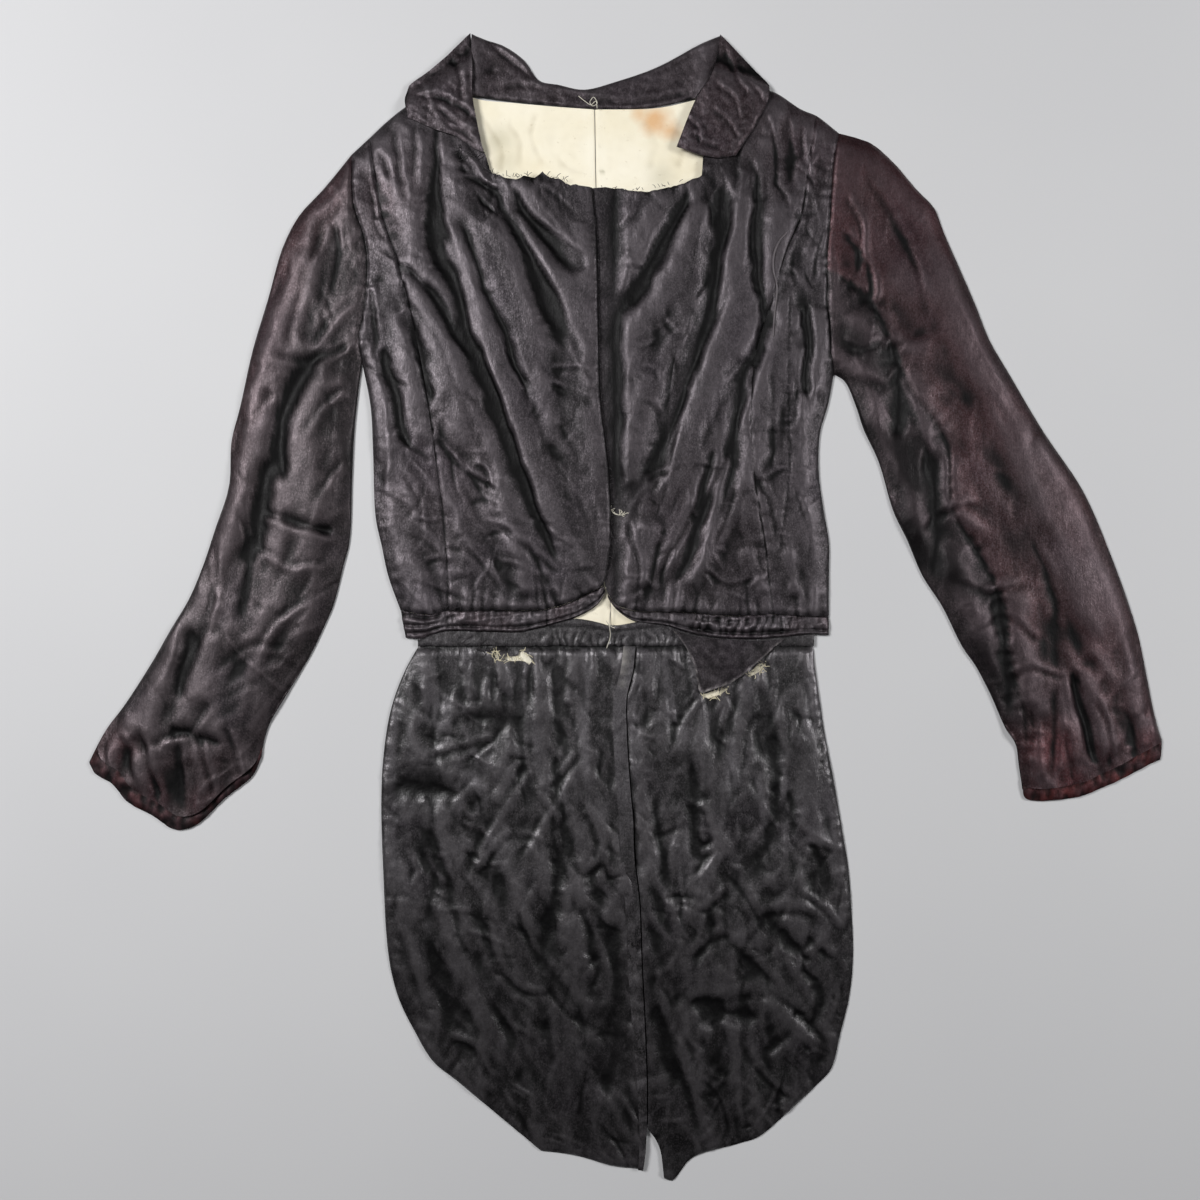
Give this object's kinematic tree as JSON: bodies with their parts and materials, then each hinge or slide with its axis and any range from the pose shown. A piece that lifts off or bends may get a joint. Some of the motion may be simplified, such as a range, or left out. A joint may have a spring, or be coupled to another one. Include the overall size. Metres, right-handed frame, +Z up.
{
  "type": "basque bodice",
  "caption": "Lady's black silk satin basque bodice laid flat, with a fold-over collar, draped fronts, long sleeves and long rounded tails.",
  "frame": {"origin": "centre of the garment's box, on the surface that it lies on", "axes": "+X to the wearer's left, +Y from the tails to the collar, +Z up out of the laid garment"},
  "size_m": [0.8564, 0.9154, 0.0102],
  "materials": {
    "satin": "worn brown-black silk satin, soft sheen, creased",
    "sleeve_satin": "silk satin faded towards maroon, soft sheen",
    "tail_satin": "black satin with crisp storage creases, brighter sheen",
    "faded_satin": "satin faded to rusty red at the cuffs",
    "lining_cotton": "plain cream cotton, matt, stained"
  },
  "bodies": {
    "root": {"front_right": "satin", "front_left": "satin", "side_front_right": "satin", "side_front_left": "satin", "back_right": "satin", "back_left": "satin", "back_lining_right": "lining_cotton", "back_lining_left": "lining_cotton", "hem_band_right": "satin", "hem_band_left": "satin", "waistband_right": "satin", "waistband_left": "satin", "upper_sleeve_right": "sleeve_satin", "cuff_facing_right": "faded_satin", "under_sleeve_right": "sleeve_satin", "upper_sleeve_left": "sleeve_satin", "cuff_facing_left": "faded_satin", "under_sleeve_left": "sleeve_satin", "collar_band": "satin", "collar_fall_right": "satin", "collar_fall_left": "satin", "tail_right": "tail_satin", "tail_facing_right": "tail_satin", "tail_left": "tail_satin", "tail_lining_right": "lining_cotton", "tail_lining_left": "lining_cotton", "torn_flap": "satin"}
  },
  "joints": []
}
